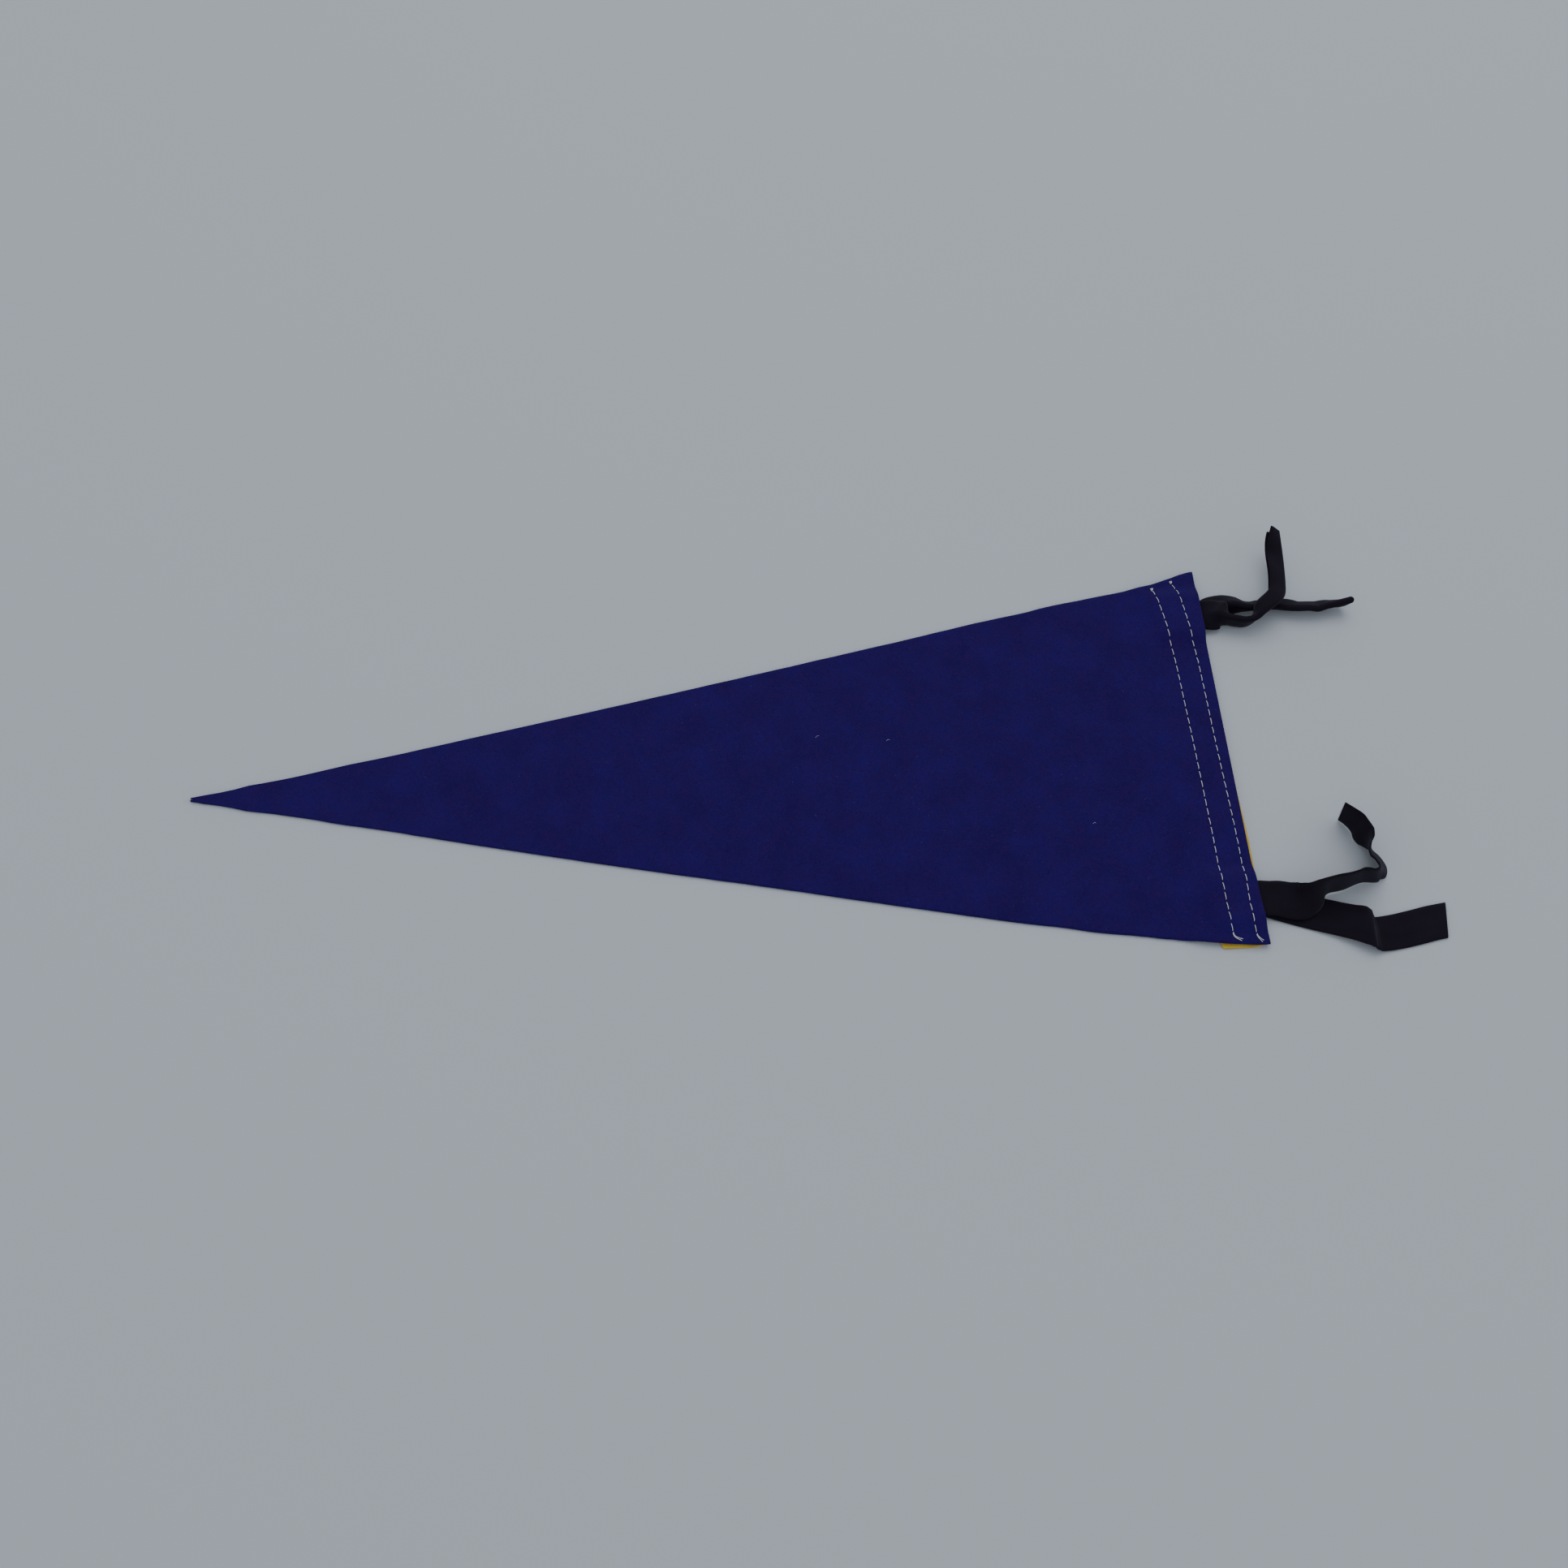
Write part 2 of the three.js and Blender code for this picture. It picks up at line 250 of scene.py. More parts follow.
# %% Cloth measures
CLOTH_THICK = 1.2
STRIP_THICK = 1
TAPE_THICK = 1
TAPE_WIDTH = 15
GAP = 0.3
ONE_TAPE = TAPE_THICK + GAP
TIE_ROOTS = {"upper_tie": 70.6, "lower_tie": -69}
CLOTH_EDGES = table("x near far", [
    (-444, -0.8, 0.8),
    (-439, -2.0, 1.6),
    (-420, -6.4, 5.4),
    (-380, -14.8, 13.2),
    (-320, -28.0, 25.2),
    (-260, -41.0, 37.6),
    (-200, -53.2, 50.4),
    (-140, -65.8, 63.4),
    (-80, -77.4, 76.2),
    (-50, -82.6, 82.4),
    (-35, -85.2, 85.2),
    (-20, -87.6, 87.8),
    (-10, -88.8, 91.0),
    (-4, -89.4, 93.0),
    (0, -89.4, 93.8),
])
HEADING_FROM = -38
PLAIN_STEP, HEADING_STEP = 6, 0.75
CLOTH_PLACES = 150
EDGE_ROUND = 0.15
SHEAR_WANDER = 0.12
STRIP_RISE = (-34, -24.5)
TIE_RISE = (-26, -18)
BESIDE_TIE = (0.6, 9)
FAR_CORNER_LIFT, NEAR_CORNER_LIFT = 0.6, 0.4
GROOVE_DEEP, GROOVE_WIDE = 0.16, 0.9
DIMPLE_DEEP, DIMPLE_WIDE = 0.42, 0.75


# %% Cloth height
def cloth_under(x, y):
    """The height of the cloth's lower face: on the surface, raised over the strip and the tapes."""
    height = (STRIP_THICK + GAP) * ease(x, *STRIP_RISE)
    for root in TIE_ROOTS.values():
        beside = np.abs(y - root) - TAPE_WIDTH / 2
        height = height + 2 * ONE_TAPE * ease(x, *TIE_RISE) * (1 - ease(beside, *BESIDE_TIE))
    height = height + FAR_CORNER_LIFT * ease(y, 74, 96) * ease(x, -60, 0)
    return height + NEAR_CORNER_LIFT * ease(-y, 78, 90) * ease(x, -80, -10)


def sewn_dent(x, y):
    """How far the thread pulls the upper face down: a shallow groove, and a dimple at each needle hole."""
    dent = np.zeros(np.broadcast(x, y).shape)
    for points in holes.values():
        path_x = np.interp(y, points[::-1, 1], points[::-1, 0])
        inside = ease(y, points[-1, 1] - 2, points[-1, 1]) * (1 - ease(y, points[0, 1], points[0, 1] + 2))
        dent = np.maximum(dent, GROOVE_DEEP * np.exp(-((x - path_x) / GROOVE_WIDE) ** 2) * inside)
        for hole_x, hole_y in points:
            apart = (x - hole_x) ** 2 + (y - hole_y) ** 2
            dent = np.maximum(dent, DIMPLE_DEEP * np.exp(-apart / DIMPLE_WIDE**2))
    return dent


# %% Cloth mesh
def felt_ring(first, second, outward):
    """A ring round two faces of a sheet, with its cut edges rounded by one point each."""
    middle = (first + second) / 2
    return np.concatenate([first, [middle[-1] + outward], second[::-1], [middle[0] - outward]])


def make_cloth():
    plain = np.arange(-CLOTH_LONG, HEADING_FROM, PLAIN_STEP)
    heading = np.arange(HEADING_FROM, -0.01, HEADING_STEP)
    lines = np.concatenate([[-CLOTH_LONG, -CLOTH_LONG + 1.5], plain[1:], heading, [-0.25, 0]])
    edges = between(CLOTH_EDGES, np.interp(lines, CLOTH_EDGES["x"], np.arange(len(CLOTH_EDGES["x"]))))
    share = np.linspace(0, 1, CLOTH_PLACES)
    rings = []
    for n, x in enumerate(lines):
        near = edges["near"][n] + SHEAR_WANDER * wander(x, 0, 9, 3)
        far = edges["far"][n] + SHEAR_WANDER * wander(x, 0, 9, 8)
        y = near + (far - near) * share
        flare = ease(-y, 64, 90) * ease(x, -14, 0)
        across = x + flare + (0.1 * wander(0, 1, 5, 1) if x == 0 else 0)
        under, over = cloth_under(x, y), cloth_under(x, y) + CLOTH_THICK
        if x > HEADING_FROM:
            over = over - sewn_dent(x, y)
        pinch = EDGE_ROUND * (x in (lines[0], lines[-1]))
        upper = np.stack([across, y, over - pinch], axis=1)
        lower = np.stack([across, y, under + pinch], axis=1)
        lower[[0, -1], 2] += EDGE_ROUND
        upper[[0, -1], 2] -= EDGE_ROUND
        rings.append(felt_ring(lower, upper, [0, EDGE_ROUND, 0]))
    across_lay = np.concatenate([share, [1], share[::-1], [0]]) * (CLOTH_EDGES["far"][-1] - CLOTH_NEAR)
    return loft("cloth_sheet", rings, across_lay, lines)


cloth = make_cloth()

# %% [markdown]
# The yellow heading strip
#
# The strip is hidden but for a sliver along the hoist and another below the near edge, where it was cut a
# little too long. It is the same kind of felt in another colour, so it is lofted the same way, with its
# lines running across the strip.

# %% Heading strip
STRIP_EDGES = table("y inner outer", [
    (-89.8, -17.2, -6),
    (-89.2, -18, -2),
    (-87, -18.4, -0.8),
    (-75, -18.6, 0.4),
    (-60, -18.8, 0.9),
    (-40, -19.2, 1.2),
    (-15, -19.6, 0.4),
    (20, -20.4, -0.8),
    (60, -22, -1.2),
    (84, -24, -1.6),
])
STRIP_LINES, STRIP_PLACES = 140, 16
STRIP_LAY = 20


def make_strip():
    rows = np.linspace(0, len(STRIP_EDGES["y"]) - 1, STRIP_LINES)
    edges = between(STRIP_EDGES, rows)
    share = np.linspace(0, 1, STRIP_PLACES)
    rings = []
    for n, y in enumerate(edges["y"]):
        inner = edges["inner"][n] + SHEAR_WANDER * wander(y, 0, 7, 5)
        outer = edges["outer"][n] + SHEAR_WANDER * wander(y, 0, 7, 6)
        x = inner + (outer - inner) * share
        pinch = EDGE_ROUND * (n in (0, len(rows) - 1))
        upper = np.stack([x, 0 * x + y, 0 * x + STRIP_THICK - pinch], axis=1)
        lower = np.stack([x, 0 * x + y, 0 * x + pinch], axis=1)
        upper[[0, -1], 2] -= EDGE_ROUND
        lower[[0, -1], 2] += EDGE_ROUND
        rings.append(felt_ring(upper, lower, [EDGE_ROUND, 0, 0]))
    across = np.concatenate([share, [1], share[::-1], [0]]) * STRIP_LAY
    return loft("strip_sheet", rings, across, edges["y"])


strip = make_strip()
print("strip:", len(strip.data.polygons), "faces")

# %% [markdown]
# The tape ties
#
# Each tie is a single length of woven tape, doubled round under the heading, and its two tails are free.
# A tape bends easily over its face and hardly at all within it, so it stands on edge, twists and folds
# along its middle rather than curving sideways. Each row of a table is one cross section: where its middle
# is, how far the tape leans about its own run, how sharply it is folded along its middle, and how far its
# left edge leads. The rows repeat those of the frame's solids, and the sections between them are finer.

# %% Tie measures
LOWER_TAPE_MIDDLE = STRIP_THICK + GAP + TAPE_THICK / 2
UPPER_TAPE_MIDDLE = LOWER_TAPE_MIDDLE + ONE_TAPE
DOUBLING = -16.5
FOLD_ARC = 1.5
SECTIONS_PER_ROW = 9
POINT_ROWS = 3
SELVEDGE_ROUND = 0.22
TAIL_COLUMNS = "x y z lean fold ahead"
UPPER_OVER = table(TAIL_COLUMNS, [
    (0, 70.6, UPPER_TAPE_MIDDLE, 0, 0, 0),
    (3, 69.4, 5.1, 13.5, 12.5, 0),
    (6.5, 66.8, 8.5, 34, 40, 0),
    (10.5, 64.8, 9, 22, 76, 0),
    (14.4, 64, 8.8, 14, 84, 0),
    (18.2, 63, 9, 18, 86, 0),
    (22.4, 63, 10.2, 38, 86, 0),
    (26.2, 64.8, 12, 62, 86, 0),
    (30, 67.2, 12.6, 72, 86, 0),
    (33.6, 70, 12.2, 80, 84, 0),
    (36.4, 74, 11, 90, 86, 0),
    (37.8, 79.4, 10, 97, 88, 0),
    (38.8, 86, 9.6, 101, 88, 0),
    (39.6, 92, 9.4, 94, 88, 0),
    (40, 97, 9.8, 85, 88, 0),
    (40, 102, 10.6, 104, 88, 0),
    (39.8, 107.4, 11.4, 130, 86, 1),
])
UPPER_UNDER = table(TAIL_COLUMNS, [
    (0, 70.6, LOWER_TAPE_MIDDLE, 0, 0, 0),
    (3, 71.4, 2.2, 1, 10, 1.4),
    (6.5, 73.2, 3.5, 0, 21, 1.8),
    (10.5, 73.8, 5.3, 5, 35, 0.6),
    (14.5, 72.6, 7.3, 22, 62, 0),
    (18.5, 71, 7.3, 32, 76, 0),
    (23, 70.4, 6.8, 38, 82, 0),
    (27, 70.6, 6.3, 47, 86, 0),
    (33, 70.6, 5.8, 56, 86, 0),
    (39, 69.8, 5.6, 58, 86, 0),
    (43.5, 69, 6.4, 48, 86, 0),
    (48.5, 68.8, 6.6, 46, 86, 0),
    (52.5, 68.4, 6.2, 50, 86, 0),
    (56.5, 69.4, 6.6, 44, 86, 0),
    (60.5, 70, 7.3, 36, 86, 0),
    (64.5, 70.6, 8, 31, 86, 0),
    (68, 71.4, 8.8, 27, 86, 0),
])
LOWER_OVER = table(TAIL_COLUMNS, [
    (0, -69, UPPER_TAPE_MIDDLE, 0, 0, 0),
    (4, -69.7, 3.3, 3, 0, 0),
    (8, -70.3, 3.8, 8, 0, 0),
    (12, -71.8, 4.8, 16, 0, 0),
    (16, -72.7, 6.1, 30, 0, 0),
    (20, -72, 7.7, 48, 0, 0),
    (24, -69.8, 8.8, 68, 0, -0.7),
    (28, -67.4, 8.6, 84, 0, -1.4),
    (34.5, -66, 8.2, 85, 0, -1.8),
    (42.4, -63.8, 8.2, 90, 0, -2.8),
    (48.4, -63.6, 8.3, 89, 0, -3.8),
    (50.9, -61.4, 7.8, 64, 0, -2),
    (51.2, -58.4, 7.2, 54, 0, 0),
    (50.4, -55.4, 6.7, 51, 0, 0),
    (49.2, -52.8, 6.8, 56, 0, 0),
    (48.5, -50.2, 7.3, 72, 0, 0),
    (48, -47.6, 7.7, 90, 0, -0.6),
    (47.2, -44.8, 7.8, 99, 0, -1),
    (46.4, -42.2, 8, 96, 0, -0.6),
    (45.4, -39.6, 8.1, 93, 0, 0),
    (43, -36.6, 8.1, 89, 0, 0),
    (40.1, -34, 8.1, 88, 0, 0.7),
])
LOWER_UNDER = table(TAIL_COLUMNS, [
    (0, -69, LOWER_TAPE_MIDDLE, 0, 0, 0),
    (3, -69.6, 1.6, 0, 0, 0),
    (8, -71.4, 0.9, 0, 0, 0),
    (20, -75.6, 0.6, 0, 0, 0),
    (30, -79.2, 1.6, 1, 0, 0),
    (36.5, -82, 3.2, 2, 0, -1.4),
    (40.8, -84.2, 4.6, 4, 0, -3.6),
    (43, -85.4, 4.6, 4, 0, -4.2),
    (45, -86.4, 2.2, 1, 0, -3),
    (47.6, -86.8, 1, 0, 0, -1.2),
    (54, -86, 0.6, 0, 0, 0),
    (62, -84.5, 0.6, 0, 0, 0.6),
    (69, -83, 0.6, 0, 0, 1.4),
    (75.4, -82, 0.6, 0, 0, 2.4),
])
TIES = {
    "upper_tie": {"over": UPPER_OVER, "under": UPPER_UNDER, "over_point": 0, "under_point": 4},
    "lower_tie": {"over": LOWER_OVER, "under": LOWER_UNDER, "over_point": 0, "under_point": 0},
}
TAPE_PLACES = np.array([
    -1, -0.8, -0.6, -0.4, -0.2, -0.15, -0.1, -0.05, 0, 0.05, 0.1, 0.15, 0.2, 0.4, 0.6, 0.8, 1,
])
HALF_THICK = np.full(len(TAPE_PLACES), TAPE_THICK / 2)
HALF_THICK[[0, -1]] -= SELVEDGE_ROUND


# %% Tape sections
def section(places, fold, offset):
    """Places across the tape, bent round its fold: how far out to the side, and how far up."""
    reach = np.abs(places) * TAPE_WIDTH / 2
    on_arc = np.minimum(reach, FOLD_ARC)
    angle = fold * on_arc / FOLD_ARC
    past = reach - on_arc
    chord = on_arc * np.sinc(angle / (2 * np.pi))
    side = chord * np.cos(angle / 2) + past * np.cos(angle) + offset * np.sin(angle)
    rise = -chord * np.sin(angle / 2) - past * np.sin(angle) + offset * np.cos(angle)
    return np.sign(places) * side, rise


def tape_ring(middle, run, lean, fold, ahead, point):
    """One closed section of the tape: its upper face, left selvedge, lower face and right selvedge."""
    left = np.cross([0, 0, 1], run)
    left /= np.linalg.norm(left)
    above = np.cross(run, left)
    forward = np.cross(left, [0, 0, 1])

    def points(places, offset):
        side, rise = section(places, fold, offset)
        across = side * math.cos(lean) - rise * math.sin(lean)
        up = side * math.sin(lean) + rise * math.cos(lean)
        shift = np.outer(ahead * places, forward) - np.outer(point * np.abs(places), run)
        return middle + np.outer(across, left) + np.outer(up, above) + shift

    upper, lower = points(TAPE_PLACES, HALF_THICK), points(TAPE_PLACES, -HALF_THICK)
    edge = 1 + SELVEDGE_ROUND / TAPE_WIDTH
    left_edge, right_edge = points(np.array([edge]), 0), points(np.array([-edge]), 0)
    return np.concatenate([upper, left_edge, lower[::-1], right_edge])


def turn_over(ring):
    """The same ring read from its lower face, to carry on from the doubling."""
    half = len(TAPE_PLACES)
    upper, left_edge, lower, right_edge = np.split(ring, [half, half + 1, 2 * half + 1])
    return np.concatenate([lower[::-1], left_edge, upper[::-1], right_edge])


# %% Tie meshes
def tail_rings(rows, end_point):
    """The rings of a free tail, from the heading to its end, which may be cut back to a point."""
    last = len(rows["x"]) - 1
    places = np.linspace(0, last, last * SECTIONS_PER_ROW + 1)
    here = between(rows, places)
    middle = np.stack([here["x"], here["y"], here["z"]], axis=1)
    ahead, behind = between(rows, places + 0.1), between(rows, places - 0.1)
    run = unit(np.stack([ahead[axis] - behind[axis] for axis in "xyz"], axis=1))
    point = end_point * ease(places, last - POINT_ROWS, last)
    lean, fold = np.radians(here["lean"]), np.radians(here["fold"])
    return [tape_ring(*sizes) for sizes in zip(middle, run, lean, fold, here["ahead"], point)]


def doubling_rings(root):
    """The rings of the tape where it doubles round, from its upper layer to its lower one."""
    centre = np.array([DOUBLING, root, (LOWER_TAPE_MIDDLE + UPPER_TAPE_MIDDLE) / 2])
    rings = []
    for degrees in np.linspace(90, -90, 13):
        angle = math.radians(degrees)
        out = np.array([-math.cos(angle), 0, math.sin(angle)])
        side = np.outer(TAPE_PLACES * TAPE_WIDTH / 2, [0, 1, 0])
        outer = centre + side + np.outer(ONE_TAPE / 2 + HALF_THICK, out)
        inner = centre + side + np.outer(ONE_TAPE / 2 - HALF_THICK, out)
        edge = centre + ONE_TAPE / 2 * out + np.outer([1, -1], [0, TAPE_WIDTH / 2 + SELVEDGE_ROUND, 0])
        rings.append(np.concatenate([outer, edge[:1], inner[::-1], edge[1:]]))
    return rings


def make_tie(name):
    """A tie's mesh, its length, and the rings at its two cut ends."""
    tie = TIES[name]
    upper = tail_rings(tie["over"], tie["over_point"])[::-1]
    lower = [turn_over(ring) for ring in tail_rings(tie["under"], tie["under_point"])]
    rings = upper + doubling_rings(TIE_ROOTS[name]) + lower
    half = len(TAPE_PLACES)
    middle = np.array([(ring[half // 2] + ring[half + 1 + half // 2]) / 2 for ring in rings])
    run = run_along(middle)
    lay = TAPE_PLACES * TAPE_WIDTH / 2
    across = np.concatenate([lay, [TAPE_WIDTH / 2], lay[::-1], [-TAPE_WIDTH / 2]])
    return loft(name.replace("tie", "tape"), rings, across, run), run[-1], rings[0], rings[-1]


tapes, tape_long, tape_ends = {}, {}, []
for name in TIES:
    tapes[name], tape_long[name], first_ring, last_ring = make_tie(name)
    tape_ends += [first_ring, last_ring]
    print(name, "tape", round(tape_long[name]), "mm long,", len(tapes[name].data.polygons), "faces")

# %% [markdown]
# Tubes for thread and fibre
#
# Thread, yarn and lint are all thin tubes along a path. A small number of sides is enough, because none is
# as thick as half a millimetre. The frame of each ring is carried on from the one before it, so that the
# tube doesn't twist, and both ends are closed.


# %% Tubes
def tube(path, radii, sides):
    """The vertices and faces of a closed tube along a path, with a radius at each of its points."""
    path = np.asarray(path, float)
    run = unit(np.gradient(path, axis=0))
    side = np.cross(run[0], [0.3, 0.2, 1])
    vertices, faces = [], []
    for k, here in enumerate(path):
        side = side - run[k] * side.dot(run[k])
        side /= np.linalg.norm(side)
        other = np.cross(run[k], side)
        turns = np.arange(sides) * 2 * math.pi / sides
        ring = np.outer(np.cos(turns), side) + np.outer(np.sin(turns), other)
        vertices.append(here + radii[k] * ring)
        if k:
            for i in range(sides):
                a, b = (k - 1) * sides + i, (k - 1) * sides + (i + 1) % sides
                faces.append((a, b, b + sides, a + sides))
    faces.append(tuple(range(sides))[::-1])
    faces.append(tuple((len(path) - 1) * sides + i for i in range(sides)))
    return np.concatenate(vertices), faces


def join(parts):
    """Several meshes' vertices and faces as one."""
    vertices, faces, count = [], [], 0
    for part_vertices, part_faces in parts:
        vertices.append(part_vertices)
        faces += [tuple(i + count for i in face) for face in part_faces]
        count += len(part_vertices)
    return np.concatenate(vertices), faces


PLY_LAY = 1.4
PLY_OFFSET, PLY_RADIUS = 0.22, 0.31


def plied(path, thick, sides=6):
    """Two yarns twisted round each other along a path, as parts of the thread's thickness."""
    run, tangent = run_along(path), unit(np.gradient(path, axis=0))
    side = unit(np.cross(tangent, [0, 0, 1]))
    other = np.cross(tangent, side)
    parts = []
    for phase in (0, math.pi):
        turn = (2 * math.pi * run / PLY_LAY + phase)[:, None]
        yarn = path + thick * PLY_OFFSET * (np.cos(turn) * side + np.sin(turn) * other)
        parts.append(tube(yarn, np.full(len(path), thick * PLY_RADIUS), sides))
    return join(parts)


# %% [markdown]
# Geometry Nodes trees
#
# What repeats is made by a node tree: the stitches along a row, and the nap of loose fibres over the felt.
# A tree has named inputs, so its sizes can be changed in one place. The last nodes make real mesh out of
# the instances and give it its material. The result is kept as a plain mesh, and the modifier is dropped.


# %% Tree helpers
def new_group(kind, name, inputs, outputs):
    """An empty node group, with the sockets of its inputs and outputs, each a name and a socket type."""
    group = bpy.data.node_groups.new(name, kind)
    for way, sockets in (("INPUT", inputs), ("OUTPUT", outputs)):
        for socket, holds in sockets.items():
            group.interface.new_socket(socket, in_out=way, socket_type="NodeSocket" + holds)
    return group, group.nodes.new("NodeGroupInput").outputs, group.nodes.new("NodeGroupOutput").inputs


def new_tree(name, inputs):
    """An empty geometry tree that takes a geometry and its own inputs, and gives a geometry."""
    return new_group("GeometryNodeTree", name, {"Geometry": "Geometry", **inputs}, {"Geometry": "Geometry"})


def give(tree, node, values):
    """Each named input of a node is linked to a socket or given a plain value."""
    for name, value in values.items():
        if isinstance(value, bpy.types.NodeSocket):
            tree.links.new(value, node.inputs[name])
        else:
            node.inputs[name].default_value = value


def add_node(tree, kind, values=None, **settings):
    """A node with its properties set and its inputs given."""
    node = tree.nodes.new(kind)
    for name, value in settings.items():
        setattr(node, name, value)
    give(tree, node, values or {})
    return node


def chance_of(tree, least, most, seed):
    """A number between two limits, drawn for each point."""
    values = {2: least, 3: most, "Seed": seed}
    return add_node(tree, "FunctionNodeRandomValue", values, data_type="FLOAT").outputs[1]


def turned(tree, rotation, by):
    """A rotation with another one after it, about its own axes."""
    values = {"Rotation": rotation, "Rotate By": by}
    return add_node(tree, "FunctionNodeRotateRotation", values, rotation_space="LOCAL").outputs[0]


def finish_tree(tree, instances, material, out):
    """Real mesh out of a tree's instances, in their material."""
    real = add_node(tree, "GeometryNodeRealizeInstances", {"Geometry": instances})
    painted = add_node(tree, "GeometryNodeSetMaterial", {"Geometry": real.outputs[0], "Material": material})
    tree.links.new(painted.outputs[0], out["Geometry"])


def grown(name, host, tree, values):
    """The tree's result on a host object, as a plain mesh object."""
    modifier = host.modifiers.new("grow", "NODES")
    modifier.node_group = tree
    for item in tree.interface.items_tree:
        if item.in_out == "INPUT" and item.name in values:
            modifier[item.identifier] = values[item.name]
    depsgraph = bpy.context.evaluated_depsgraph_get()
    mesh = bpy.data.meshes.new_from_object(host.evaluated_get(depsgraph), depsgraph=depsgraph)
    mesh.name = name
    host.modifiers.remove(modifier)
    return add_object(name, mesh)


# %% [markdown]
# Shader groups
#
# Felt has no weave: its wool is matted in every direction, so up close it shows tangled hairs and from a
# step away a soft mottling. The nap group makes both from noise and is used by the blue and the yellow felt
# with their own colours. The hairs are painted shade where their relief is low and painted light where it
# is high. Dust settles on every dark cloth, so the dust group is shared by felt and tape.


# %% Shader helpers
def maths(tree, operation, *values, clamp=False):
    values = dict(enumerate(values))
    return add_node(tree, "ShaderNodeMath", values, operation=operation, use_clamp=clamp).outputs[0]


def blend_colours(tree, share, first, second):
    return add_node(tree, "ShaderNodeMix", {0: share, 6: first, 7: second}, data_type="RGBA").outputs[2]


def noise_of(tree, vector, scale, detail=2.0, stretch=None, swirl=0.0):
    """Noise between 0 and 1, drawn out along the axes where the stretch is small, and swirled."""
    if stretch is not None:
        vector = add_node(tree, "ShaderNodeMapping", {"Vector": vector, "Scale": stretch}).outputs[0]
    return add_node(tree, "ShaderNodeTexNoise", {
        "Vector": vector, "Scale": scale, "Detail": detail, "Distortion": swirl,
    }).outputs[0]


def contrast(tree, value, strength, middle, clamp=True):
    """A value between 0 and 1 with its distance from the half made larger or smaller."""
    return maths(tree, "MULTIPLY_ADD", maths(tree, "SUBTRACT", value, 0.5), strength, middle, clamp=clamp)


# %% Felt nap group
def nap_group():
    group, given, out = new_group(
        "ShaderNodeTree", "felt nap",
        {"Vector": "Vector", "Deep": "Color", "Lit": "Color", "Warm": "Color", "Hair": "Float"},
        {"Color": "Color", "Height": "Float", "Rough": "Float"},
    )
    vector = given["Vector"]
    patches = noise_of(group, vector, 55, 3)
    blotches = noise_of(group, vector, 190, 2)
    fine = noise_of(group, vector, 900, 4, swirl=2.4)
    tangled = noise_of(group, vector, 480, 4, swirl=3.2)
    hairs = maths(group, "MULTIPLY", maths(group, "ADD", fine, tangled), 0.5)
    mottle = contrast(group, patches, 2.6, 0.5)
    spotted = contrast(group, blotches, 2.2, 0.4)
    base = blend_colours(group, mottle, given["Deep"], given["Lit"])
    base = blend_colours(group, maths(group, "MULTIPLY", spotted, 0.5), base, given["Warm"])
    # The colour follows the same hair noise as the relief: painted shade between the hairs, painted light on
    # them.
    painted_hair_shade = contrast(group, hairs, given["Hair"], 1.0, clamp=False)
    shaded = add_node(group, "ShaderNodeVectorMath", {0: base, "Scale": painted_hair_shade}, operation="SCALE")
    group.links.new(shaded.outputs[0], out["Color"])
    pills = noise_of(group, vector, 320, 3)
    group.links.new(maths(group, "ADD", hairs, maths(group, "MULTIPLY", pills, 0.8)), out["Height"])
    group.links.new(maths(group, "MULTIPLY_ADD", hairs, -0.2, 1.0, clamp=True), out["Rough"])
    return group


# %% Dust group
def dust_group():
    inputs = {"Vector": "Vector", "Amount": "Float"}
    group, given, out = new_group("ShaderNodeTree", "settled dust", inputs, {"Mask": "Float"})
    cells = add_node(group, "ShaderNodeTexVoronoi", {"Vector": given["Vector"], "Scale": 240.0})
    where = noise_of(group, given["Vector"], 30, 2)
    speck = maths(group, "LESS_THAN", cells.outputs["Distance"], 0.07)
    settled = maths(group, "MULTIPLY", speck, maths(group, "GREATER_THAN", where, 0.55))
    group.links.new(maths(group, "MULTIPLY", settled, given["Amount"]), out["Mask"])
    return group


NAP, DUST = nap_group(), dust_group()


# %% [markdown]
# The materials
#
# Felt is as matt as cloth gets, but its standing hairs catch light at a low angle. That soft rim is the
# Principled shader's sheen. The tape is cotton twill: fine slanted ribs, crossed by the weft, with a firmer
# selvedge at each side, and painted lighter on the raised ribs than between them, as painted light and shade.
# Its pattern follows the tape through its own flat layout, so it turns and folds with it. The thread is
# smooth spun polyester, a little brighter on its crown.


# %% Material helpers
def new_material(name):
    """A material that hardly shines, its node tree, its shader and the place of each point."""
    material = bpy.data.materials.new(name)
    material.use_nodes = True
    tree = material.node_tree
    shader = tree.nodes["Principled BSDF"]
    give(tree, shader, {"Specular IOR Level": 0.1})
    return material, tree, shader, tree.nodes.new("ShaderNodeTexCoord").outputs["Object"]


def relief_of(tree, height, strength, distance):
    values = {"Height": height, "Strength": strength, "Distance": distance}
    return add_node(tree, "ShaderNodeBump", values).outputs[0]


def grouped(tree, group, **values):
    return add_node(tree, "ShaderNodeGroup", values, node_tree=group).outputs


def with_dust(tree, colour, vector, amount, dust_colour):
    mask = grouped(tree, DUST, Vector=vector, Amount=amount)["Mask"]
    return blend_colours(tree, mask, colour, dust_colour)


# %% Felt materials
def felt_material(name, deep, lit, warm, hair, dust, sheen_tint):
    material, tree, shader, vector = new_material(name)
    nap = grouped(tree, NAP, Vector=vector, Deep=deep, Lit=lit, Warm=warm, Hair=hair)
    give(tree, shader, {
        "Base Color": with_dust(tree, nap["Color"], vector, dust, (0.3, 0.3, 0.36, 1)),
        "Roughness": nap["Rough"],
        "Normal": relief_of(tree, nap["Height"], 0.55, 0.00035),
        "Sheen Weight": 0.1, "Sheen Roughness": 0.45, "Sheen Tint": sheen_tint,
    })
    return material


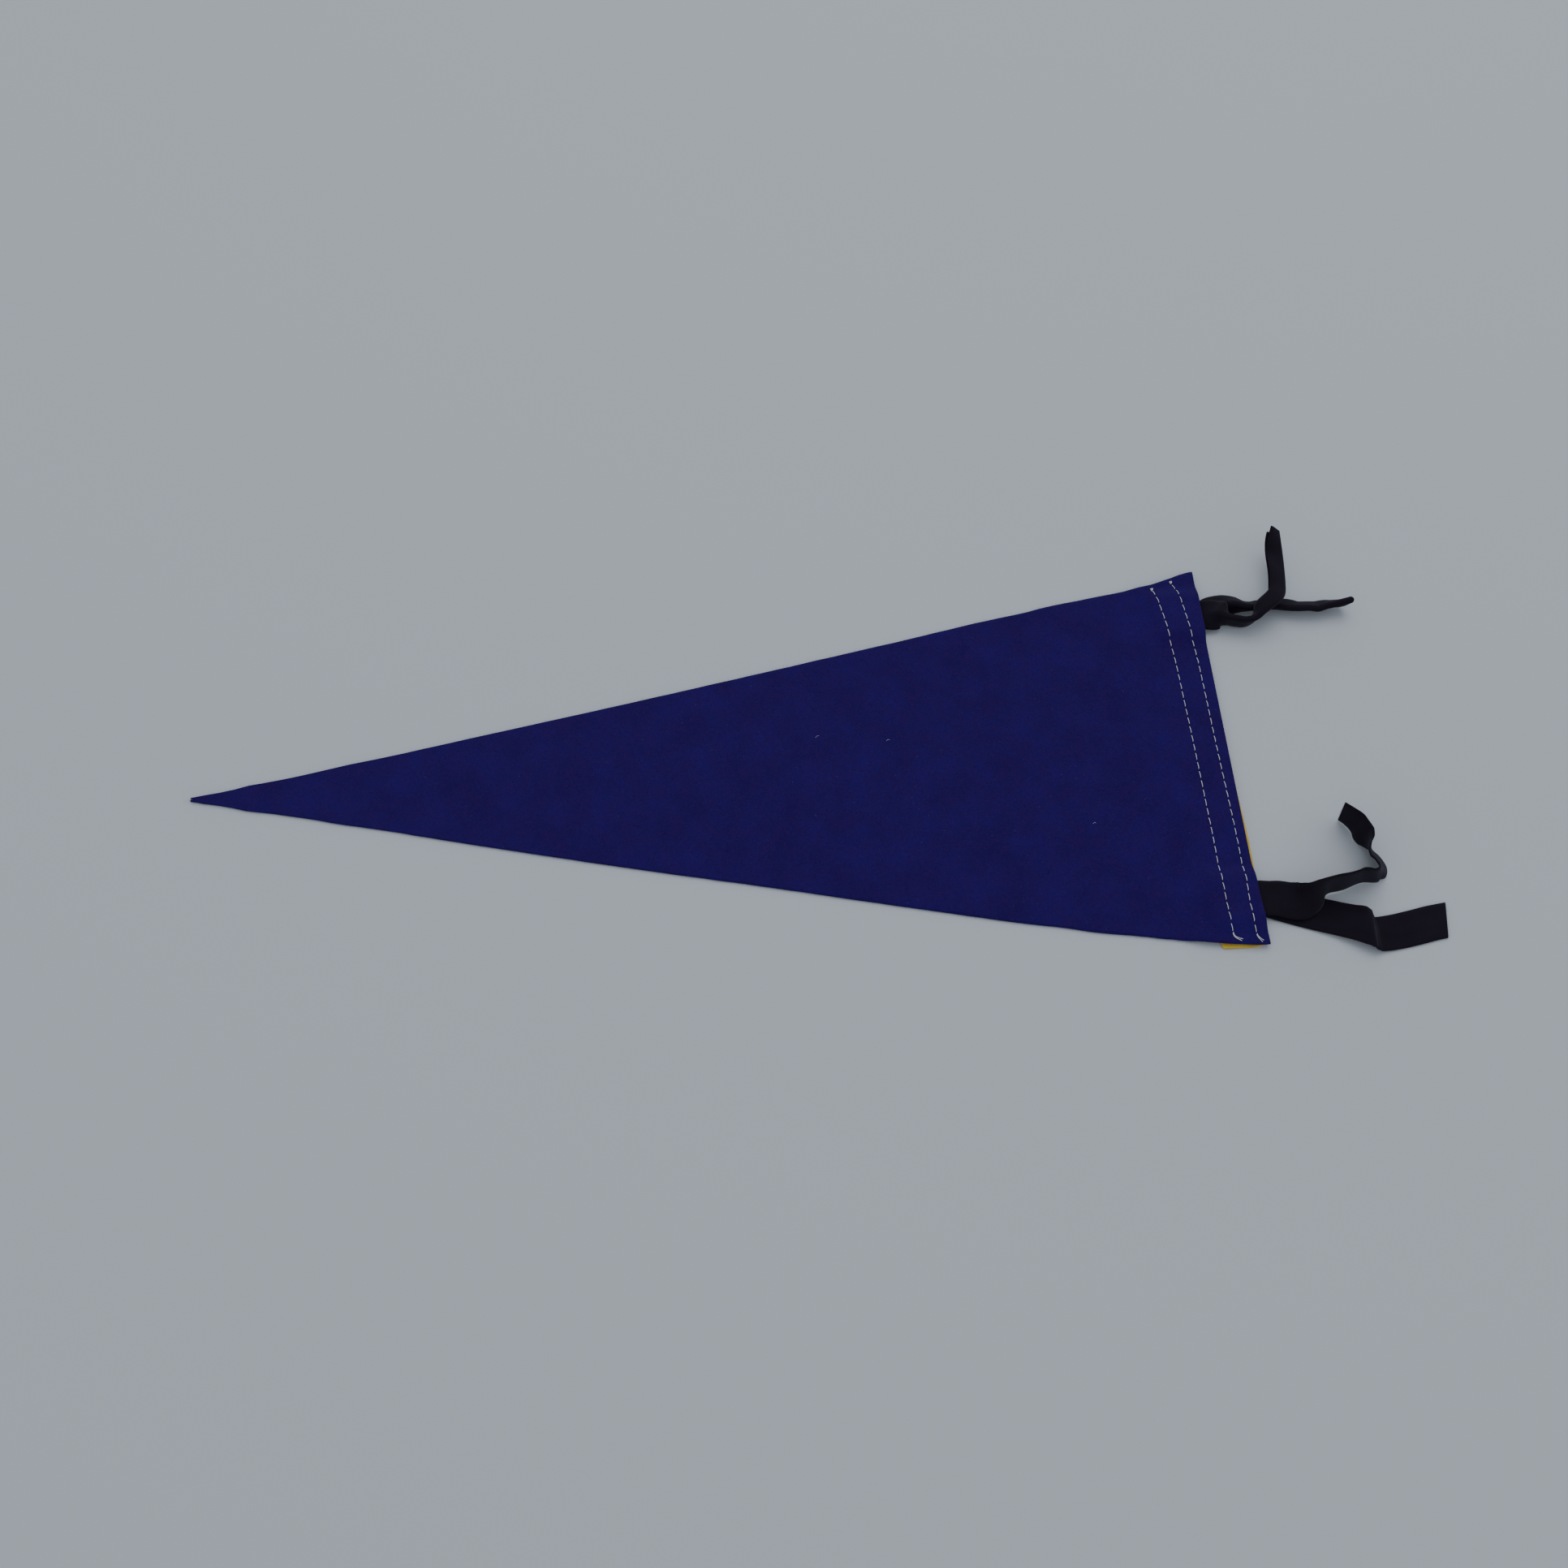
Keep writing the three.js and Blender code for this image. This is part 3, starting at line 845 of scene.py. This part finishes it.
blue_felt = felt_material("blue felt", (0.0122, 0.0025, 0.084, 1), (0.0132, 0.0037, 0.112, 1),
                          (0.021, 0.0025, 0.087, 1), 1.5, 0.07, (0.5, 0.4, 0.9, 1))
yellow_felt = felt_material("yellow felt", (0.6, 0.42, 0.05, 1), (0.75, 0.55, 0.08, 1),
                            (0.68, 0.45, 0.06, 1), 0.8, 0.05, (1, 0.9, 0.6, 1))


# %% Tape material
def tape_material():
    material, tree, shader, vector = new_material("black twill tape")
    lay = add_node(tree, "ShaderNodeUVMap", uv_map="lay").outputs[0]
    parts = add_node(tree, "ShaderNodeSeparateXYZ", {"Vector": lay}).outputs
    across, run = parts["X"], parts["Y"]
    rib_pitch, pick_pitch, cord_pitch, selvedge = 0.0007, 0.00045, 0.0005, 0.0062
    slant = maths(tree, "ADD", across, maths(tree, "MULTIPLY", run, 0.9))
    ribs = maths(tree, "SINE", maths(tree, "MULTIPLY", slant, 2 * math.pi / rib_pitch))
    picks = maths(tree, "SINE", maths(tree, "MULTIPLY", run, 2 * math.pi / pick_pitch))
    crossed = maths(tree, "ADD", ribs, maths(tree, "MULTIPLY", picks, 0.5))
    weave = maths(tree, "MULTIPLY_ADD", crossed, 0.25, 0.5)
    at_edge = maths(tree, "GREATER_THAN", maths(tree, "ABSOLUTE", across), selvedge)
    cords = maths(tree, "SINE", maths(tree, "MULTIPLY", across, 2 * math.pi / cord_pitch))
    firm = maths(tree, "MULTIPLY_ADD", cords, 0.25, 0.6)
    height = add_node(tree, "ShaderNodeMix", {0: at_edge, 2: weave, 3: firm}).outputs[0]
    share = contrast(tree, noise_of(tree, lay, 160, 3, (1, 0.3, 1)), 1.6, 0.5)
    worn = blend_colours(tree, share, (0.0062, 0.004, 0.0095, 1), (0.0105, 0.0078, 0.0155, 1))
    # The colour is lighter where the weave's relief is high: painted light on the raised ribs, painted shade
    # between the yarns.
    woven_with_painted_light = blend_colours(tree, maths(tree, "MULTIPLY", height, 0.45), worn, (0.016, 0.0125, 0.0225, 1))
    give(tree, shader, {
        "Base Color": with_dust(tree, woven_with_painted_light, vector, 0.07, (0.2, 0.2, 0.22, 1)),
        "Roughness": maths(tree, "MULTIPLY_ADD", height, -0.15, 0.95),
        "Normal": relief_of(tree, height, 0.8, 0.00012),
        "Sheen Weight": 0.12, "Sheen Roughness": 0.4, "Sheen Tint": (0.62, 0.6, 0.85, 1),
    })
    return material


black_tape = tape_material()


# %% Thread and lint materials
def spun_material(name, light, shade, bump):
    material, tree, shader, vector = new_material(name)
    strands = noise_of(tree, vector, 4200, 2, (1, 0.4, 1))
    soiled = noise_of(tree, vector, 90, 2)
    tint = maths(tree, "MULTIPLY", maths(tree, "ADD", strands, soiled), 0.5)
    share = maths(tree, "MULTIPLY_ADD", tint, 2.4, -0.7, clamp=True)
    give(tree, shader, {
        "Base Color": blend_colours(tree, share, shade, light), "Roughness": 0.6,
        "Normal": relief_of(tree, strands, bump, 0.00005),
        "Sheen Weight": 0.25, "Sheen Roughness": 0.35,
    })
    return material


white_thread = spun_material("white thread", (0.8, 0.8, 0.84, 1), (0.58, 0.58, 0.64, 1), 0.5)
pale_lint = spun_material("pale lint", (0.7, 0.69, 0.68, 1), (0.45, 0.44, 0.45, 1), 0.3)
felt_hair = spun_material("blue hair", (0.03, 0.03, 0.16, 1), (0.012, 0.011, 0.075, 1), 0.2)
tape_yarn = spun_material("black yarn", (0.02, 0.019, 0.027, 1), (0.006, 0.005, 0.009, 1), 0.4)
cloth.data.materials.append(blue_felt)
strip.data.materials.append(yellow_felt)
for tape in tapes.values():
    tape.data.materials.append(black_tape)

# %% [markdown]
# The stitches
#
# A lockstitch shows as a short float of thread that rises out of one hole and sinks into the next. One
# float is modelled once, of two twisted plies, a little arched and shorter than the stitch length, so that
# a dark gap is left at each hole. The tree sets it at every stitch along the row, turned to the row's run
# and kept upright, with a slight change of angle from one to the next, as on real sewing.


# %% Stitch tree
def stitch_tree():
    tree, given, out = new_tree("stitch row", {
        "Stitch": "Object", "Thread": "Material", "Unevenness": "Float", "Seed": "Int",
    })
    align, uneven = "FunctionNodeAlignRotationToVector", given["Unevenness"]
    curve = {"Curve": given["Geometry"]}
    points = add_node(tree, "GeometryNodeCurveToPoints", curve, mode="EVALUATED").outputs
    run = add_node(tree, align, {"Vector": points["Tangent"]}, axis="X").outputs[0]
    upward = {"Rotation": run, "Vector": (0, 0, 1)}
    upright = add_node(tree, align, upward, axis="Z", pivot_axis="X").outputs[0]
    least = add_node(tree, "ShaderNodeMath", {0: uneven, 1: -1.0}, operation="MULTIPLY").outputs[0]
    swing = chance_of(tree, least, uneven, given["Seed"])
    angles = add_node(tree, "ShaderNodeCombineXYZ", {"Z": swing}).outputs[0]
    set_down = add_node(tree, "GeometryNodeInstanceOnPoints", {
        "Points": points["Points"],
        "Instance": add_node(tree, "GeometryNodeObjectInfo", {"Object": given["Stitch"]}).outputs["Geometry"],
        "Rotation": turned(tree, upright, angles),
    })
    finish_tree(tree, set_down.outputs[0], given["Thread"], out)
    return tree


# %% One stitch
HALF_FLOAT = STITCH * 0.37


def make_stitch():
    """A float of thread along x, with its middle at the origin and its ends sunk into the holes."""
    reach = np.linspace(-HALF_FLOAT, HALF_FLOAT, 19)
    arch = 0.2 - 0.6 * np.abs(reach / reach[-1]) ** 4
    path = np.stack([reach, 0.05 * np.sin(reach), arch], axis=1)
    return new_object("stitch", *plied(path, THREAD_THICK), origin=0)


# %% Sew the rows
def sewn_row(name, points, tree, stitch):
    """The stitches of one row, each midway between two needle holes, on the cloth's upper face."""
    middles = (points[1:] + points[:-1]) / 2
    height = cloth_under(middles[:, 0], middles[:, 1]) + CLOTH_THICK - 0.05
    path = place(np.column_stack([middles, height]))
    curve = bpy.data.curves.new(name + "_path", "CURVE")
    curve.dimensions = "3D"
    spline = curve.splines.new("POLY")
    spline.points.add(len(path) - 1)
    for point, where in zip(spline.points, path):
        point.co = (*where, 1)
    host = add_object(name + "_path", curve)
    row = grown(name + "_row", host, tree,
                {"Stitch": stitch, "Thread": white_thread, "Unevenness": 0.05, "Seed": len(path)})
    bpy.data.objects.remove(host)
    return row


sewing, one_stitch = stitch_tree(), make_stitch()
rows = [sewn_row(name, points, sewing, one_stitch) for name, points in holes.items()]
bpy.data.objects.remove(one_stitch)
print("stitch rows:", [len(row.data.polygons) for row in rows], "faces")

# %% [markdown]
# Where the rows start and end
#
# At the far end each row is fastened off with a small round knot, tight against the felt. At the near end
# both threads were left long and lie together on the cloth, bent toward the hoist. The knot is a trefoil,
# which is what a tied thread end looks like when it is drawn up.


# %% Knots and thread ends
KNOT_SIZE = 0.5
LOOSE_THREADS = {
    "inner": [(-13.5, -84), (-13.2, -85.4), (-12.2, -86.4), (-10.3, -87.3)],
    "outer": [(-3.9, -85), (-3.7, -86.1), (-3, -87.2), (-2, -88.3)],
}


def make_knot(x, y):
    turn = np.linspace(0, 2 * math.pi, 49)
    loop = np.stack([
        x + KNOT_SIZE * (np.sin(turn) + 2 * np.sin(2 * turn)) / 2.4,
        y + KNOT_SIZE * (np.cos(turn) - 2 * np.cos(2 * turn)) / 2.4,
        cloth_under(x, y) + CLOTH_THICK + 0.35 - 0.28 * np.sin(3 * turn),
    ], axis=1)
    return tube(loop, np.full(len(turn), THREAD_THICK * 0.52), 6)


def make_loose_threads(points):
    """Two loose threads side by side that part a little toward their cut ends."""
    path = along(points, 0.25)
    share = np.linspace(0, 1, len(path))
    parts = []
    for side in (-1, 1):
        spread = side * (0.14 + 0.3 * share**2)
        x, y = path[:, 0] + spread * 0.6, path[:, 1] + spread * 0.8
        z = cloth_under(x, y) + CLOTH_THICK + 0.16 + 0.5 * share * (1 - share) + 0.1 * (side > 0)
        parts.append(plied(np.stack([x, y, z], axis=1), THREAD_THICK))
    return join(parts)


knots = [make_knot(*points[0]) for points in ROWS.values()]
loose_threads = [make_loose_threads(points) for points in LOOSE_THREADS.values()]
thread_ends = new_object("thread_ends", *join(knots + loose_threads))
thread_ends.data.materials.append(white_thread)
print("thread ends:", len(thread_ends.data.polygons), "faces")

# %% [markdown]
# The nap
#
# Pressed felt sheds short hairs that lie almost flat on its face and stand out from a cut edge, where they
# soften the outline. The tree scatters one bent hair over the faces at a given number per square metre,
# leans it well over, and turns and sizes each one by chance with a fixed seed.


# %% Nap tree
HAIR_SIZES = (0.45, 1.3)


def nap_tree():
    tree, given, out = new_tree("felt nap", {
        "Hair": "Object", "Colour": "Material", "Per square metre": "Float",
        "Least lean": "Float", "Most lean": "Float", "Seed": "Int",
    })
    scattered = add_node(tree, "GeometryNodeDistributePointsOnFaces", {
        "Mesh": given["Geometry"], "Density": given["Per square metre"], "Seed": given["Seed"],
    }).outputs
    lean = chance_of(tree, given["Least lean"], given["Most lean"], 11)
    spin = chance_of(tree, 0.0, 2 * math.pi, 12)
    spun = add_node(tree, "ShaderNodeCombineXYZ", {"Z": spin}).outputs[0]
    leaned = add_node(tree, "ShaderNodeCombineXYZ", {"X": lean}).outputs[0]
    hairs = add_node(tree, "GeometryNodeInstanceOnPoints", {
        "Points": scattered["Points"],
        "Instance": add_node(tree, "GeometryNodeObjectInfo", {"Object": given["Hair"]}).outputs["Geometry"],
        "Rotation": turned(tree, turned(tree, scattered["Rotation"], spun), leaned),
        "Scale": chance_of(tree, *HAIR_SIZES, 13),
    })
    finish_tree(tree, hairs.outputs[0], given["Colour"], out)
    return tree


# %% One hair
HAIR_LONG = 1.3
HAIR_THICK = 0.035


def make_hair():
    """A bent hair that grows along z from the origin."""
    up = np.linspace(0, HAIR_LONG, 5)
    path = np.stack([0.22 * (up / HAIR_LONG) ** 2, 0.1 * np.sin(2.5 * up), up], axis=1)
    taper = HAIR_THICK / 2 * np.array([1, 1, 0.9, 0.7, 0.25])
    return new_object("hair", *tube(path, taper, 3), smooth=False, origin=0)


def patch_of(name, thing, keep):
    """A copy of the faces of an object that a test on their normal and centre keeps."""
    mesh = thing.data
    faces = [tuple(face.vertices) for face in mesh.polygons if keep(face.normal, face.center)]
    used = sorted({i for face in faces for i in face})
    number = {old: new for new, old in enumerate(used)}
    faces = [tuple(number[i] for i in face) for face in faces]
    copy = bpy.data.meshes.new(name)
    copy.from_pydata([mesh.vertices[i].co for i in used], [], faces)
    return add_object(name, copy)


def keep_above_surface(thing):
    """Lays flat whatever would reach below the surface."""
    where = np.zeros(3 * len(thing.data.vertices), dtype=np.float32)
    thing.data.vertices.foreach_get("co", where)
    where[2::3] = np.maximum(where[2::3], HAIR_THICK / 2 * MM)
    thing.data.vertices.foreach_set("co", where)
    thing.data.update()


# %% Grow the nap
FACE_HAIRS, EDGE_HAIRS = 60000.0, 900000.0
nap, one_hair = nap_tree(), make_hair()
face_patch = patch_of("felt_face", cloth, lambda normal, centre: normal.z > 0.9)
edge_patch = patch_of("felt_edge", cloth, lambda normal, centre: abs(normal.z) < 0.5 and centre.z > 0.0004)
sown = {"Hair": one_hair, "Colour": felt_hair}
face_nap = grown("face_nap", face_patch, nap, {
    **sown, "Per square metre": FACE_HAIRS, "Least lean": 1.25, "Most lean": 1.5, "Seed": 4,
})
edge_nap = grown("edge_nap", edge_patch, nap, {
    **sown, "Per square metre": EDGE_HAIRS, "Least lean": 0.2, "Most lean": 1.35, "Seed": 9,
})
for helper in (one_hair, face_patch, edge_patch):
    bpy.data.objects.remove(helper)
for hairs in (face_nap, edge_nap):
    keep_above_surface(hairs)
print("nap:", len(face_nap.data.polygons), "and", len(edge_nap.data.polygons), "faces")

# %% [markdown]
# Cut tape ends and lint
#
# Where a woven tape is cut, its long yarns come a little loose and stand out past the last weft. Each tape
# end gets a row of short yarns of uneven length along its cut. A few pale threads of lint lie on the blue
# felt, one of them at the very tip, as they do on any dark felt.


# %% Loose yarns
YARNS_PER_END = 26
YARN_LOWEST = 0.12


def loose_yarns(ring, inward, seed):
    """Short yarns that stand out of a cut end, about two to each millimetre of its width."""
    half = len(TAPE_PLACES)
    middle = (ring[:half] + ring[half + 1:2 * half + 1][::-1]) / 2
    parts = []
    for k in range(YARNS_PER_END):
        across = 2 * (k + 0.5) / YARNS_PER_END - 1
        root = np.array([np.interp(across, TAPE_PLACES, middle[:, axis]) for axis in range(3)])
        chance = [wander(k, seed, 0.37, n) for n in (1, 2, 3)]
        reach = 0.3 + 0.7 * abs(chance[0])
        out = -inward + np.array([0.4 * chance[1], 0.4 * chance[2], 0.15 * chance[0]])
        path = [root + inward * 0.4, root + out * reach * 0.5, root + out * reach + [0, 0, -0.1 * chance[1]]]
        path = along(path, 0.25)
        path[:, 2] = np.maximum(path[:, 2], YARN_LOWEST)
        parts.append(tube(path, np.linspace(0.1, 0.05, len(path)), 4))
    return parts


yarns = []
tails = [TIES[name][tail] for name in TIES for tail in ("over", "under")]
for seed, (tail, ring) in enumerate(zip(tails, tape_ends), start=1):
    tip, back = (np.array([tail[axis][n] for axis in "xyz"]) for n in (-1, -2))
    yarns += loose_yarns(ring, (back - tip) / np.linalg.norm(back - tip), seed)
frays = new_object("tape_frays", *join(yarns))
frays.data.materials.append(tape_yarn)

# %% Lint
LINT_THICK = 0.11
LINT = [
    [(-177.2, 16.4), (-176.4, 17.2), (-175.6, 17.3)],
    [(-146.6, 13.2), (-145.9, 13.9), (-145.1, 13.6)],
    [(-443.2, -0.3), (-444.6, 0.2), (-446, -0.3), (-447.2, -0.6)],
    [(-63.0, -31.2), (-62.2, -30.6), (-61.6, -30.9)],
]


def lint_thread(points):
    """A thread that lies on the cloth, and sags a little where it reaches past the tip."""
    path = along(points, 0.2)
    height = np.where(path[:, 0] > -CLOTH_LONG, CLOTH_THICK + 0.08, 0.9)
    return tube(np.column_stack([path, height]), np.full(len(path), LINT_THICK / 2), 5)


lint = new_object("lint", *join([lint_thread(points) for points in LINT]))
lint.data.materials.append(pale_lint)
print("frays and lint:", len(frays.data.polygons), len(lint.data.polygons), "faces")

# %% [markdown]
# Floor and light
#
# The surface is plain, pale and a little cool. The light is one wide soft lamp, high on the far right, and
# an even sky. A wide lamp gives shadows with soft edges that are darkest where the cloth nearly touches the
# surface, and those show that the tails of the ties stand up.

# %% Floor
FLOOR_X, FLOOR_Y = (-2600, 2200), (-2200, 2600)
FLOOR_Z = -0.05
corners = [(FLOOR_X[i], FLOOR_Y[j], FLOOR_Z) for i, j in ((0, 0), (1, 0), (1, 1), (0, 1))]
floor = new_object("floor", corners, [(0, 1, 2, 3)], smooth=False)
floor_material, tree, shader, _ = new_material("pale floor")
give(tree, shader, {"Base Color": (0.53, 0.577, 0.64, 1), "Roughness": 0.9})
floor.data.materials.append(floor_material)

# %% Light
SKY_STRENGTH = 0.6
LAMP_STRENGTH = 12.5
LAMP_SIZE = 1.9
LAMP_FROM, LAMP_TO = [200, 1100, 1900], [-120, 0, 0]
world = bpy.data.worlds.new("soft sky")
world.use_nodes = True
sky = {"Color": (0.94, 0.965, 1, 1), "Strength": SKY_STRENGTH}
give(world.node_tree, world.node_tree.nodes["Background"], sky)
bpy.context.scene.world = world
lamp = add_object("lamp", bpy.data.lights.new("lamp", "AREA"))
lamp.data.energy = LAMP_STRENGTH
lamp.data.shape = "DISK"
lamp.data.size = LAMP_SIZE
lamp.location = Vector(place(LAMP_FROM))
lamp.rotation_euler = (Vector(place(LAMP_TO)) - lamp.location).to_track_quat("-Z", "Y").to_euler()

# %% [markdown]
# Hang every piece on the one body
#
# Every piece rides on the one body, and the frame's own solids for the cloth, the heading strip and the
# tapes are hidden. The pieces are listed by the felt or tape they are made of, the nap and lint with the
# blue felt and the loose yarns with the tape; the stitching rides on the body by itself.

finishes = {
    "blue_felt": [cloth, face_nap, edge_nap, lint],
    "yellow_felt": [strip],
    "black_tape": [*tapes.values(), frays],
}
for slot, pieces in finishes.items():
    for piece in pieces:
        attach(piece, "root")
for piece in (*rows, thread_ends):
    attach(piece, "root")
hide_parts("cloth")
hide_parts("heading_strip")
for name, tape in tapes.items():
    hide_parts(name)
